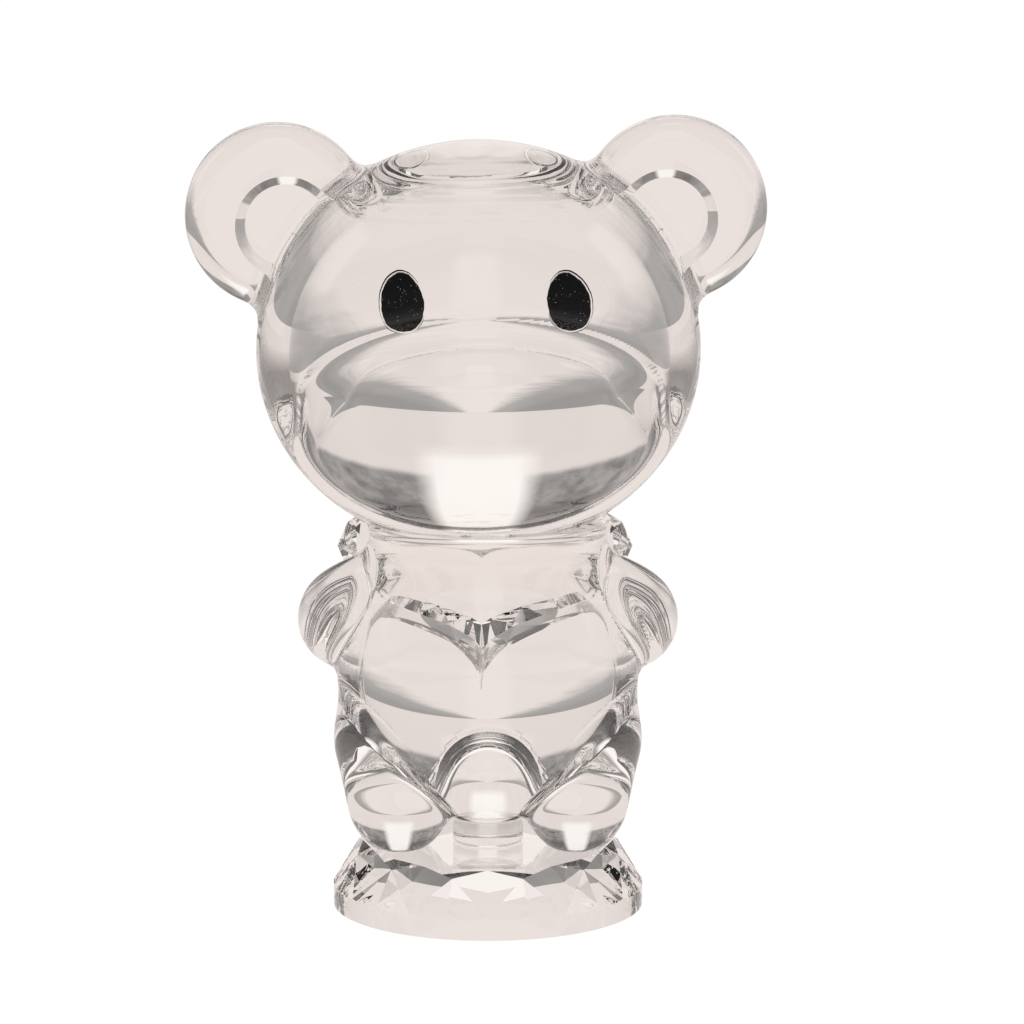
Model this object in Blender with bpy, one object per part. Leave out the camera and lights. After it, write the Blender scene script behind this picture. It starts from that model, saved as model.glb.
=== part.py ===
"""A clear crystal bear standing on a faceted round disc, with a faceted heart held behind its back.

Every ground piece of glass is its own object, bonded to its neighbours. Metres, +Z up, the bear
looks along -Y. The origin is the centre of the disc's underside.
"""

import math

import bmesh
import bpy
import numpy as np
from mathutils import Matrix, Vector

# Bond line kept between two pieces that meet, in metres.
GAP = 0.0003

# Faceted disc: a round girdle under a crown of planar facets.
DISC_RADIUS = 0.0225
DISC_HEIGHT = 0.0092
GIRDLE_HEIGHT = 0.0033
TABLE_RADIUS = 0.0182
STAR_TIP_RADIUS = 0.0196
CROWN_FOLD = 12
DISC_SEGMENTS = 96

# Spacer puck between the disc and the body.
SPACER_RADIUS = 0.0051
SPACER_EDGE = 0.0006

# Body: an egg turned about Z and flattened front to back.
BODY_BOTTOM = 0.0132
BODY_TOP = 0.05685
BODY_WAIST_Z = 0.0355
BODY_RADIUS = 0.0219
BODY_LOWER_HEIGHT = 0.0229
BODY_DEPTH_RATIO = 0.8
NECK_RADIUS = 0.0170
NECK_WAIST_Z = 0.0545
NECK_FLARE = 0.0007
BODY_END_CROWDING = 0.04

# Legs: a thigh and a foot run together, standing on the disc.
THIGH_CENTRE = (0.0136, -0.0020, 0.0252)
THIGH_RADII = (0.0087, 0.0098, 0.0105)
FOOT_CENTRE = (0.0128, -0.0030, 0.0165)
FOOT_RADII = (0.0076, 0.0085, 0.0085)
LEG_MIDDLE = (0.0132, -0.0025, 0.0210)
LEG_BLEND = 0.003

# Arms: from the shoulder, out to the elbow, then back to the heart.
SHOULDER = (0.0150, 0.0000, 0.0478)
ELBOW = (0.0206, 0.0050, 0.0410)
HAND = (0.0135, 0.0200, 0.0385)
SHOULDER_RADIUS = 0.0052
ELBOW_RADIUS = 0.0070
HAND_RADIUS = 0.0046
ARM_STEPS = 16
ARM_CAP_STEPS = 5
ARM_SEGMENTS = 20

# Tail.
TAIL_CENTRE = (0.0, 0.0166, 0.0226)
TAIL_RADIUS = 0.0042

# Heart: a facetted slab leaning with the bear's back.
HEART_WIDTH = 0.0436
HEART_HEIGHT = 0.0270
HEART_THICKNESS = 0.0080
HEART_TABLE = 0.8
HEART_BACK_Y = 0.0163
HEART_SEAT_Z = 0.0420
HEART_LEAN = math.radians(8.0)
HEART_OFFSET = -0.0005
HEART_RISE = 0.0072
HEART_STEPS = 28

# Head: its frame stands on the neck joint, leaned and turned a little, as the bonded head is.
NECK_JOINT_Z = 0.0570
HEAD_OFFSET = -0.0009
HEAD_LEAN = math.radians(-0.9)
HEAD_TURN = math.radians(1.3)
HEAD_CENTRE = (0.0, 0.0, 0.0245)
HEAD_HALF_WIDTH = 0.0319
HEAD_HALF_DEPTH = 0.0245
HEAD_UPPER = 0.0303
HEAD_LOWER = 0.0289
MUZZLE_CENTRE = (0.0, -0.0065, 0.0150)
MUZZLE_HALF_WIDTH = 0.0255
MUZZLE_HALF_DEPTH = 0.0245
MUZZLE_UPPER = 0.0158
MUZZLE_LOWER = 0.0147
MUZZLE_SQUARENESS = 6.0
MUZZLE_ARCH = 0.35
MUZZLE_BLEND = 0.0014
HEAD_MIDDLE = (0.0, -0.0030, 0.0220)

# Ears: round-edged plates with a dished half-moon in front.
EAR_CENTRE = (0.0284, 0.0010, 0.0445)
EAR_RADIUS = 0.0132
EAR_HALF_THICKNESS = 0.0040
EAR_EDGE = 0.0030
EAR_DISH_SHIFT = (-0.0012, -0.0012)
EAR_DISH_RADIUS = 0.0072
EAR_DISH_FLOOR_RADIUS = 0.0062
EAR_DISH_DEPTH = 0.0022

# Eyes: enamel ovals sunk into the face.
EYE_HALF_WIDTH = 0.0030
EYE_HALF_HEIGHT = 0.0041
EYE_DEPTH = 0.0007
EYE_SKIN = 0.00002
EYE_NARROWING = 0.08
RIGHT_EYE = (-0.01085, 0.0348)
RIGHT_EYE_TILT = math.radians(3.0)
LEFT_EYE = (0.0124, 0.0344)
LEFT_EYE_TILT = math.radians(14.0)

# Cutting tools reach this far, well past every piece.
FAR = 0.06


def clear_scene():
    for thing in list(bpy.data.objects):
        bpy.data.objects.remove(thing, do_unlink=True)


def material(name, colour, roughness, transmission=0.0):
    """A Principled material: colour, roughness and how clear it is."""
    made = bpy.data.materials.new(name)
    made.use_nodes = True
    shader = made.node_tree.nodes["Principled BSDF"]
    shader.inputs["Base Color"].default_value = (*colour, 1.0)
    shader.inputs["Roughness"].default_value = roughness
    shader.inputs["Transmission Weight"].default_value = transmission
    shader.inputs["IOR"].default_value = 1.52
    made.diffuse_color = (*colour, 1.0)
    return made


def add(name, mesh, finish, parent=None, smooth=True):
    """Links a mesh as a named object with its material."""
    mesh.materials.append(finish)
    made = bpy.data.objects.new(name, mesh)
    bpy.context.scene.collection.objects.link(made)
    made.parent = parent
    if smooth:
        mesh.shade_smooth()
        mesh.set_sharp_from_angle(angle=math.radians(35))
    return made


def cutter(thing):
    """Marks an object as a cutting tool: drawn as wire, never a piece."""
    thing.hide_render = True
    thing.display_type = "WIRE"
    return thing


def cut(target, tool):
    """Takes the tool away from the target."""
    step = target.modifiers.new("cut " + tool.name, "BOOLEAN")
    step.operation = "DIFFERENCE"
    step.solver = "EXACT"
    step.object = tool


def common(target, tool):
    """Keeps only what the target shares with the tool."""
    step = target.modifiers.new("within " + tool.name, "BOOLEAN")
    step.operation = "INTERSECT"
    step.solver = "EXACT"
    step.object = tool


def mesh_from(name, make):
    """A mesh from a function that fills a bmesh."""
    work = bmesh.new()
    make(work)
    bmesh.ops.recalc_face_normals(work, faces=work.faces)
    mesh = bpy.data.meshes.new(name)
    work.to_mesh(mesh)
    work.free()
    return mesh


def box(name, low, high, finish, parent=None):
    """A plain box between two corners, used for cutting."""

    def make(work):
        middle = (Vector(low) + Vector(high)) / 2
        size = Vector(high) - Vector(low)
        place = Matrix.Translation(middle) @ Matrix.Diagonal((*size, 1.0))
        bmesh.ops.create_cube(work, size=1.0, matrix=place)

    return cutter(add(name, mesh_from(name, make), finish, parent, smooth=False))


def ellipsoid(points, centre, radii):
    """Roughly the distance of points from an ellipsoid's surface, negative inside."""
    offset = points - np.array(centre)
    near = np.linalg.norm(offset / np.array(radii), axis=-1)
    slope = np.linalg.norm(offset / np.array(radii) ** 2, axis=-1)
    return near * (near - 1.0) / np.maximum(slope, 1e-9)


def egg(points, centre, half_width, half_depth, upper, lower, squareness=2.0, arch=0.0):
    """An egg with one height above its centre and another below.

    Squareness over 2 fills its shoulders, and arch lowers them towards the sides.
    """
    x, y, z = (points - np.array(centre)).T
    rising = z > 0
    height = np.where(rising, upper * (1.0 - arch * np.minimum(np.abs(x) / half_width, 1.0) ** 2), lower)
    power = np.where(rising, squareness, 2.0)
    around = np.maximum(np.hypot(x / half_width, y / half_depth), 1e-9)
    up = np.maximum(np.abs(z) / height, 1e-9)
    near = (around**power + up**power) ** (1.0 / power)
    side_slope = (around / near) ** (power - 1.0) * np.hypot(x / half_width**2, y / half_depth**2) / around
    up_slope = (up / near) ** (power - 1.0) / height
    return (near - 1.0) / np.maximum(np.hypot(side_slope, up_slope), 1e-9)


def blended(first, second, width):
    """The union of two distance fields with a fillet of about that width."""
    mix = np.clip(0.5 + 0.5 * (second - first) / width, 0.0, 1.0)
    return second * (1.0 - mix) + first * mix - width * mix * (1.0 - mix)


def bridge_rings(work, rings, first, last):
    """Joins rings of equal length with quads, and closes each end on its pole."""
    count = len(rings[0])
    for lower, upper in zip(rings, rings[1:]):
        for i in range(count):
            j = (i + 1) % count
            work.faces.new((lower[i], lower[j], upper[j], upper[i]))
    for i in range(count):
        j = (i + 1) % count
        work.faces.new((rings[0][j], rings[0][i], first))
        work.faces.new((rings[-1][i], rings[-1][j], last))


def star_mesh(name, centre, field, rings, segments, reach=0.06):
    """Closed skin of the field around a centre that sees all of it."""
    tilt = np.pi * np.arange(1, rings) / rings
    turn = 2 * np.pi * np.arange(segments) / segments
    tilt, turn = np.meshgrid(tilt, turn, indexing="ij")
    ways = np.stack(
        [np.sin(tilt) * np.cos(turn), np.sin(tilt) * np.sin(turn), -np.cos(tilt)], axis=-1
    ).reshape(-1, 3)
    ways = np.vstack([ways, (0.0, 0.0, -1.0), (0.0, 0.0, 1.0)])
    low = np.zeros(len(ways))
    high = np.full(len(ways), reach)
    for _ in range(40):
        middle = (low + high) / 2
        inside = field(np.array(centre) + ways * middle[:, None]) < 0
        low = np.where(inside, middle, low)
        high = np.where(inside, high, middle)
    skin = np.array(centre) + ways * low[:, None]

    def make(work):
        made = [work.verts.new(point) for point in skin]
        loops = [made[i * segments : (i + 1) * segments] for i in range(rings - 1)]
        bridge_rings(work, loops, made[-2], made[-1])

    return mesh_from(name, make)


def turned_mesh(name, profile, segments, flat=1.0):
    """A closed solid from (radius, height) points, bottom to top, flattened along Y. Its ends are flat."""

    def make(work):
        loops = []
        for radius, height in profile:
            loop = []
            for i in range(segments):
                angle = 2 * math.pi * i / segments
                place = (radius * math.cos(angle), flat * radius * math.sin(angle), height)
                loop.append(work.verts.new(place))
            loops.append(loop)
        for lower, upper in zip(loops, loops[1:]):
            for i in range(segments):
                j = (i + 1) % segments
                work.faces.new((lower[i], lower[j], upper[j], upper[i]))
        work.faces.new(list(reversed(loops[0])))
        work.faces.new(loops[-1])

    return mesh_from(name, make)


def polar(radius, angle, height):
    return Vector((radius * math.sin(angle), -radius * math.cos(angle), height))


def disc_mesh(name):
    """The round disc, its crown ground with a kite, two girdle triangles and a star at each step."""
    step = 2 * math.pi / CROWN_FOLD
    slope = (DISC_HEIGHT - GIRDLE_HEIGHT) / (DISC_RADIUS - TABLE_RADIUS)
    tip_height = DISC_HEIGHT - slope * (STAR_TIP_RADIUS * math.cos(step / 2) - TABLE_RADIUS)

    def facet(work, a, b, c):
        normal = (b - a).cross(c - a).normalized()
        if normal.z < 0:
            normal.negate()
        geometry = list(work.verts) + list(work.edges) + list(work.faces)
        cut_edge = bmesh.ops.bisect_plane(
            work, geom=geometry, plane_co=a, plane_no=normal, dist=1e-7, clear_outer=True
        )["geom_cut"]
        edges = [e for e in cut_edge if isinstance(e, bmesh.types.BMEdge)]
        bmesh.ops.contextual_create(work, geom=edges)

    def make(work):
        bmesh.ops.create_cone(
            work,
            cap_ends=True,
            segments=DISC_SEGMENTS,
            radius1=DISC_RADIUS,
            radius2=DISC_RADIUS,
            depth=DISC_HEIGHT,
            matrix=Matrix.Translation((0, 0, DISC_HEIGHT / 2)),
        )
        for k in range(CROWN_FOLD):
            here = k * step
            corner = polar(TABLE_RADIUS, here, DISC_HEIGHT)
            foot = polar(DISC_RADIUS, here, GIRDLE_HEIGHT)
            across = Vector((math.cos(here), math.sin(here), 0.0))
            facet(work, corner, foot, corner + across)
        for k in range(CROWN_FOLD):
            here = (k + 0.5) * step
            tip = polar(STAR_TIP_RADIUS, here, tip_height)
            edge = (
                polar(TABLE_RADIUS, here - step / 2, DISC_HEIGHT),
                polar(TABLE_RADIUS, here + step / 2, DISC_HEIGHT),
            )
            facet(work, edge[0], edge[1], tip)
            for side in (-1, 1):
                kite = polar(DISC_RADIUS, here + side * step / 2, GIRDLE_HEIGHT)
                join = polar(DISC_RADIUS, here, GIRDLE_HEIGHT)
                facet(work, tip, kite, join)
        bmesh.ops.remove_doubles(work, verts=work.verts, dist=2e-6)

    return mesh_from(name, make)


def body_radius(height):
    """The egg's radius at a height: an ellipse below the waist, then a curve to the flared neck."""
    if height <= BODY_WAIST_Z:
        share = (BODY_WAIST_Z - height) / BODY_LOWER_HEIGHT
        return BODY_RADIUS * math.sqrt(1.0 - share * share)
    if height <= NECK_WAIST_Z:
        share = (height - BODY_WAIST_Z) / (NECK_WAIST_Z - BODY_WAIST_Z)
        return NECK_RADIUS + (BODY_RADIUS - NECK_RADIUS) * (1 + math.cos(math.pi * share)) / 2
    share = (height - NECK_WAIST_Z) / (BODY_TOP - NECK_WAIST_Z)
    return NECK_RADIUS + NECK_FLARE * share * share


def body_mesh(name, grow=0.0, steps=18, segments=40):
    """The body, or a copy of it with its side swollen by grow for cutting its neighbours."""
    profile = []
    for i in range(steps + 1):
        share = i / steps
        along = share - BODY_END_CROWDING * math.sin(2 * math.pi * share)
        height = BODY_BOTTOM + (BODY_TOP - BODY_BOTTOM) * along
        swell = grow * (1 + 0.5 * max(0.0, 1 - 6 * share))
        lift = grow * (2 * share - 1)
        profile.append((body_radius(height) + swell, height + lift))
    return turned_mesh(name, profile, segments, BODY_DEPTH_RATIO)


def leg_field(points, side):
    """Thigh and foot run together; side is -1 on the bear's right and +1 on its left."""
    mirror = np.array((side, 1.0, 1.0))
    thigh = ellipsoid(points, THIGH_CENTRE * mirror, THIGH_RADII)
    foot = ellipsoid(points, FOOT_CENTRE * mirror, FOOT_RADII)
    return blended(thigh, foot, LEG_BLEND)


def arm_mesh(name, side):
    """A tapering limb swept along a bent line, with round ends."""
    line = [Vector(p) for p in (SHOULDER, ELBOW, HAND)]
    radii = (SHOULDER_RADIUS, ELBOW_RADIUS, HAND_RADIUS)

    def along(share):
        """A quadratic curve that passes through the elbow halfway."""
        handle = 2 * line[1] - (line[0] + line[2]) / 2
        return (1 - share) ** 2 * line[0] + 2 * share * (1 - share) * handle + share**2 * line[2]

    def thickness(share):
        handle = 2 * radii[1] - (radii[0] + radii[2]) / 2
        return (1 - share) ** 2 * radii[0] + 2 * share * (1 - share) * handle + share**2 * radii[2]

    def heading(share):
        return (along(min(share + 0.01, 1.0)) - along(max(share - 0.01, 0.0))).normalized()

    bends = [math.pi / 2 * i / ARM_CAP_STEPS for i in range(1, ARM_CAP_STEPS)]
    stations = [(0.0, math.sin(bend), -math.cos(bend)) for bend in bends]
    stations += [(i / ARM_STEPS, 1.0, 0.0) for i in range(ARM_STEPS + 1)]
    stations += [(1.0, math.cos(bend), math.sin(bend)) for bend in bends]

    def make(work):
        loops = []
        flip = Vector((side, 1.0, 1.0))
        for share, wide, ahead in stations:
            way = heading(share)
            across = way.cross(Vector((0, 0, 1))).normalized()
            up = across.cross(way)
            middle = along(share) + way * ahead * thickness(share)
            loop = []
            for i in range(ARM_SEGMENTS):
                angle = 2 * math.pi * i / ARM_SEGMENTS
                spoke = across * math.cos(angle) + up * math.sin(angle)
                loop.append(work.verts.new((middle + spoke * wide * thickness(share)) * flip))
            loops.append(loop)
        start = work.verts.new((along(0.0) - heading(0.0) * thickness(0.0)) * flip)
        end = work.verts.new((along(1.0) + heading(1.0) * thickness(1.0)) * flip)
        bridge_rings(work, loops, start, end)

    return mesh_from(name, make)


def heart_outline(angle):
    """A point of the heart's edge, its width 1 and its height about 0.9, the widest level at 0."""
    x = 16 * math.sin(angle) ** 3
    y = 13 * math.cos(angle) - 5 * math.cos(2 * angle) - 2 * math.cos(3 * angle) - math.cos(4 * angle)
    return x / 32, (y - 4) / 29


def heart_mesh(name, grow=0.0):
    """A heart-shaped slab: flat tables front and back, and two rows of triangles round its edge."""
    half = HEART_THICKNESS / 2

    def loop(work, scale, depth, shift):
        made = []
        for i in range(HEART_STEPS):
            x, z = heart_outline(2 * math.pi * (i + shift) / HEART_STEPS)
            out = Vector((x * HEART_WIDTH, 0.0, z * HEART_HEIGHT))
            size = scale + grow / (HEART_WIDTH / 2)
            made.append(work.verts.new((out.x * size, depth, out.z * size)))
        return made

    def make(work):
        front = loop(work, HEART_TABLE, -half - grow, 0.5)
        edge = loop(work, 1.0, 0.0, 0.0)
        back = loop(work, HEART_TABLE, half + grow, 0.5)
        for table in (front, back):
            work.faces.new(table)
            for i in range(HEART_STEPS):
                j = (i + 1) % HEART_STEPS
                work.faces.new((edge[i], edge[j], table[i]))
                work.faces.new((table[i], edge[j], table[j]))

    return mesh_from(name, make)


def ear_mesh(name, segments=40, edge_steps=4):
    """A round plate with a rounded rim, its axis along Y."""
    profile = []
    for i in range(edge_steps + 1):
        angle = math.pi / 2 * i / edge_steps
        radius = EAR_RADIUS - EAR_EDGE + EAR_EDGE * math.sin(angle)
        profile.append((radius, -EAR_HALF_THICKNESS + EAR_EDGE * (1 - math.cos(angle))))
    profile += [(radius, -depth) for radius, depth in reversed(profile)]
    mesh = turned_mesh(name, profile, segments)
    mesh.transform(Matrix.Rotation(math.pi / 2, 4, "X"))
    return mesh


def dish_mesh(name, segments=32):
    """The tapering tool that dishes the front of an ear. Its axis runs along Y."""
    floor = EAR_HALF_THICKNESS - EAR_DISH_DEPTH
    above = EAR_HALF_THICKNESS + EAR_DISH_DEPTH
    widen = EAR_DISH_RADIUS + (EAR_DISH_RADIUS - EAR_DISH_FLOOR_RADIUS)
    mesh = turned_mesh(name, [(EAR_DISH_FLOOR_RADIUS, floor), (widen, above)], segments)
    mesh.transform(Matrix.Rotation(math.pi / 2, 4, "X"))
    return mesh


def oval_mesh(name, grow, segments=28):
    """An egg-shaped bar along Y, a little narrower at its top, for an eye and its socket."""
    reach = 1.2 * HEAD_HALF_DEPTH

    def make(work):
        ends = []
        for depth in (-reach, -HEAD_HALF_DEPTH / 2):
            loop = []
            for i in range(segments):
                angle = 2 * math.pi * i / segments
                up = math.sin(angle)
                side = math.cos(angle) * (1 - EYE_NARROWING * up)
                place = ((EYE_HALF_WIDTH + grow) * side, depth, (EYE_HALF_HEIGHT + grow) * up)
                loop.append(work.verts.new(place))
            ends.append(loop)
        for i in range(segments):
            j = (i + 1) % segments
            work.faces.new((ends[0][i], ends[0][j], ends[1][j], ends[1][i]))
        work.faces.new(ends[0])
        work.faces.new(ends[1])

    return mesh_from(name, make)


def head_field(points, grow=0.0):
    """Skull and the wide muzzle below it run together, swollen by grow."""
    skull = egg(points, HEAD_CENTRE, HEAD_HALF_WIDTH, HEAD_HALF_DEPTH, HEAD_UPPER, HEAD_LOWER)
    muzzle = egg(
        points,
        MUZZLE_CENTRE,
        MUZZLE_HALF_WIDTH,
        MUZZLE_HALF_DEPTH,
        MUZZLE_UPPER,
        MUZZLE_LOWER,
        MUZZLE_SQUARENESS,
        MUZZLE_ARCH,
    )
    return blended(skull, muzzle, MUZZLE_BLEND) - grow


def head_mesh(name, grow=0.0):
    """The head's skin, or a copy swollen or shrunk by grow."""

    def field(points):
        return head_field(points, grow)

    return star_mesh(name, HEAD_MIDDLE, field, 28, 44)


def build_disc(glass):
    add("base_disc", disc_mesh("base_disc"), glass, smooth=False)


def build_spacer(glass):
    low = DISC_HEIGHT + GAP
    high = BODY_BOTTOM - GAP
    inner = SPACER_RADIUS - SPACER_EDGE
    profile = [
        (inner, low),
        (SPACER_RADIUS, low + SPACER_EDGE),
        (SPACER_RADIUS, high - SPACER_EDGE),
        (inner, high),
    ]
    add("body_spacer", turned_mesh("body_spacer", profile, 32), glass)


def build_body(glass):
    torso = add("torso", body_mesh("torso"), glass)
    swollen = cutter(add("torso_swollen", body_mesh("torso_swollen", GAP), glass))
    return torso, swollen


def build_legs(glass, swollen):
    sole = box("sole_plane", (-FAR, -FAR, -FAR), (FAR, FAR, DISC_HEIGHT + GAP), glass)
    for name, side in (("right_leg", -1), ("left_leg", 1)):

        def field(points, side=side):
            return leg_field(points, side)

        centre = (side * LEG_MIDDLE[0], LEG_MIDDLE[1], LEG_MIDDLE[2])
        leg = add(name, star_mesh(name, centre, field, 18, 28), glass)
        cut(leg, sole)
        cut(leg, swollen)


def build_heart(glass, torso):
    seat = bpy.data.objects.new("heart_frame", None)
    bpy.context.scene.collection.objects.link(seat)
    seat.location = (0.0, HEART_BACK_Y + HEART_THICKNESS / 2, HEART_SEAT_Z)
    seat.rotation_euler = (HEART_LEAN, 0.0, 0.0)
    rise = Matrix.Translation((HEART_OFFSET, 0.0, HEART_RISE))
    heart = heart_mesh("heart")
    heart.transform(rise)
    add("heart", heart, glass, seat, smooth=False)
    swollen = heart_mesh("heart_swollen", GAP)
    swollen.transform(rise)
    tool = cutter(add("heart_swollen", swollen, glass, seat, smooth=False))
    near = -HEART_THICKNESS / 2 - GAP
    cut(torso, box("heart_seat", (-FAR, near, -FAR), (FAR, FAR, FAR), glass, seat))
    return tool


def build_arms(glass, torso_tool, heart_tool):
    for name, side in (("right_arm", -1), ("left_arm", 1)):
        arm = add(name, arm_mesh(name, side), glass)
        cut(arm, torso_tool)
        cut(arm, heart_tool)


def build_tail(glass, torso_tool):
    def field(points):
        return ellipsoid(points, TAIL_CENTRE, (TAIL_RADIUS,) * 3)

    tail = add("tail_ball", star_mesh("tail_ball", TAIL_CENTRE, field, 12, 20), glass)
    cut(tail, torso_tool)


def build_head(glass, enamel):
    frame = bpy.data.objects.new("head_frame", None)
    bpy.context.scene.collection.objects.link(frame)
    frame.location = (HEAD_OFFSET, 0.0, NECK_JOINT_Z)
    frame.rotation_euler = (0.0, HEAD_LEAN, HEAD_TURN)
    head = add("head", head_mesh("head"), glass, frame)
    neck_top = NECK_JOINT_Z + GAP / 2
    cut(head, box("neck_plane", (-FAR, -FAR, neck_top - FAR), (FAR, FAR, neck_top), glass))

    def skin_copy(name, grow):
        return cutter(add(name, head_mesh(name, grow), glass, frame))

    swollen = skin_copy("head_swollen", GAP)
    skin = skin_copy("eye_face", -EYE_SKIN)
    floor = skin_copy("eye_floor", -EYE_DEPTH)
    socket_floor = skin_copy("socket_floor", -EYE_DEPTH - GAP)
    eyes = (("right_eye", RIGHT_EYE, RIGHT_EYE_TILT), ("left_eye", LEFT_EYE, LEFT_EYE_TILT))
    for name, (x, z), tilt in eyes:
        place = Matrix.Translation((x, 0.0, z)) @ Matrix.Rotation(-tilt, 4, "Y")
        shape = oval_mesh(name, 0.0)
        shape.transform(place)
        eye = add(name, shape, enamel, frame)
        common(eye, skin)
        cut(eye, floor)
        hollow = oval_mesh(name + "_socket", GAP)
        hollow.transform(place)
        socket = cutter(add(name + "_socket", hollow, glass, frame))
        cut(socket, socket_floor)
        cut(head, socket)
    for name, side in (("right_ear", -1), ("left_ear", 1)):
        x, y, z = EAR_CENTRE
        ear_shape = ear_mesh(name)
        ear_shape.transform(Matrix.Translation((side * x, y, z)))
        ear = add(name, ear_shape, glass, frame)
        dish = dish_mesh(name + "_dish")
        shift = (side * (x + EAR_DISH_SHIFT[0]), y, z + EAR_DISH_SHIFT[1])
        dish.transform(Matrix.Translation(shift))
        cut(ear, cutter(add(name + "_dish", dish, glass, frame)))
        cut(ear, swollen)


def main():
    clear_scene()
    glass = material("crystal", (0.93, 0.90, 0.90), 0.02, 1.0)
    enamel = material("black_enamel", (0.012, 0.012, 0.014), 0.25)
    build_disc(glass)
    build_spacer(glass)
    torso, torso_tool = build_body(glass)
    build_legs(glass, torso_tool)
    heart_tool = build_heart(glass, torso)
    build_arms(glass, torso_tool, heart_tool)
    build_tail(glass, torso_tool)
    build_head(glass, enamel)


main()
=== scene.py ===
"""Crystal glass bear on a faceted disc: clear polished pieces, bonded together, with black enamel eyes."""

import itertools
import math

import bmesh
import bpy
import numpy as np
from mathutils import Euler, Matrix, Vector


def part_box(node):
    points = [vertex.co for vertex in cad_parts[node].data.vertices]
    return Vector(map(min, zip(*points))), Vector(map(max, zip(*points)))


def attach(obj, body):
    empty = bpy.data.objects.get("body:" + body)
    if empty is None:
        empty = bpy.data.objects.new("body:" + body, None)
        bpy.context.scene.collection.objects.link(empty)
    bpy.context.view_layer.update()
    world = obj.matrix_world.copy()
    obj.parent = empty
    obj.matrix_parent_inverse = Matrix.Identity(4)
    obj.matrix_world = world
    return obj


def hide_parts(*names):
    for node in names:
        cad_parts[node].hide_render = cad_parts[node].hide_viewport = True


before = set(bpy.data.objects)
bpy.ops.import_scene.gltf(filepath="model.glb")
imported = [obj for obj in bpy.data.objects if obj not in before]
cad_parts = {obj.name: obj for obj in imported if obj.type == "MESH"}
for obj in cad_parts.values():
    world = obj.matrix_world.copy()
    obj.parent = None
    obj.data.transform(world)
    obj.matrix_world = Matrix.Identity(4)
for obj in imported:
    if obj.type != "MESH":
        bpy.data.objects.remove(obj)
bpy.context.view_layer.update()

GLASS = 0
BOND = 1
# Half of the film of glue between two bonded faces, in metres.
FILM = 0.00001
# A stamp marks where a neighbour is bonded: it reaches this far out of the piece that it marks.
STAMP = 0.001
STAMP_EDGE = 0.0001
# Half the width of the boxes that cut, which is more than any piece's.
FAR = 0.06

DISC_LOW, DISC_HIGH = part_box("base_disc")
TORSO_LOW, TORSO_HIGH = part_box("torso")

# The driving dimensions, in metres: the CAD's, with a groove and some finer edges added.
DISC_RADIUS = DISC_HIGH.x
DISC_HEIGHT = DISC_HIGH.z
GIRDLE_HEIGHT = 0.0033
TABLE_RADIUS = 0.0182
STAR_TIP_RADIUS = 0.0196
CROWN_FOLD = 12
SPACER_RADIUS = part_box("body_spacer")[1].x
SPACER_EDGE = 0.0006
BODY_BOTTOM = TORSO_LOW.z
BODY_TOP = TORSO_HIGH.z
BODY_WAIST_Z = 0.0355
BODY_RADIUS = 0.0219
BODY_LOWER_HEIGHT = 0.0229
BODY_DEPTH_RATIO = 0.8
NECK_RADIUS = 0.0170
NECK_WAIST_Z = 0.0545
NECK_FLARE = 0.0007
THIGH_CENTRE = (0.0136, -0.0020, 0.0252)
THIGH_RADII = (0.0087, 0.0098, 0.0105)
FOOT_CENTRE = (0.0128, -0.0030, 0.0165)
FOOT_RADII = (0.0076, 0.0085, 0.0085)
LEG_MIDDLE = (0.0132, -0.0025, 0.0210)
LEG_BLEND = 0.003
SHOULDER = (0.0150, 0.0000, 0.0478)
ELBOW = (0.0206, 0.0050, 0.0410)
HAND = (0.0135, 0.0200, 0.0385)
LIMB_RADII = (0.0052, 0.0070, 0.0046)
TAIL_CENTRE = (0.0, 0.0166, 0.0226)
TAIL_RADIUS = 0.0042
HEART_WIDTH = 0.0436
HEART_HEIGHT = 0.0270
HEART_THICKNESS = 0.0080
HEART_TABLE = 0.8
HEART_BACK_Y = 0.0163
HEART_SEAT_Z = 0.0420
HEART_LEAN = math.radians(8.0)
HEART_OFFSET = -0.0005
HEART_RISE = 0.0072
HEART_STEPS = 28
NECK_JOINT_Z = 0.0570
HEAD_OFFSET = -0.0009
HEAD_LEAN = math.radians(-0.9)
HEAD_TURN = math.radians(1.3)
HEAD_CENTRE = (0.0, 0.0, 0.0245)
HEAD_HALF_WIDTH = 0.0319
HEAD_HALF_DEPTH = 0.0245
HEAD_UPPER = 0.0303
HEAD_LOWER = 0.0289
MUZZLE_CENTRE = (0.0, -0.0065, 0.0150)
MUZZLE_HALF_WIDTH = 0.0255
MUZZLE_HALF_DEPTH = 0.0245
MUZZLE_UPPER = 0.0158
MUZZLE_LOWER = 0.0147
MUZZLE_SQUARENESS = 6.0
MUZZLE_ARCH = 0.35
MUZZLE_BLEND = 0.0014
GROOVE_RADIUS = 0.0019
GROOVE_EASE = 0.0024
GROOVE_REACH = 0.0290
GROOVE_FADE = 0.0060
EAR_CENTRE = (0.0284, 0.0010, 0.0445)
EAR_RADIUS = 0.0132
EAR_HALF_THICKNESS = 0.0040
EAR_EDGE = 0.0030
DISH_SHIFT = (-0.0012, -0.0012)
DISH_RADIUS = 0.0072
DISH_FLOOR_RADIUS = 0.0062
DISH_DEPTH = 0.0022
DISH_FILLET = 0.0012
EYE_HALF_WIDTH = 0.0030
EYE_HALF_HEIGHT = 0.0041
EYE_DEPTH = 0.0007
# How much narrower the eye is at its top, and the waves in its outline: lobes, size and phase.
EYE_TAPER = 0.08
EYE_WAVES = ((5, 1.0, 1.0), (11, 0.7, 2.0), (23, 0.5, 0.4))
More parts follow.
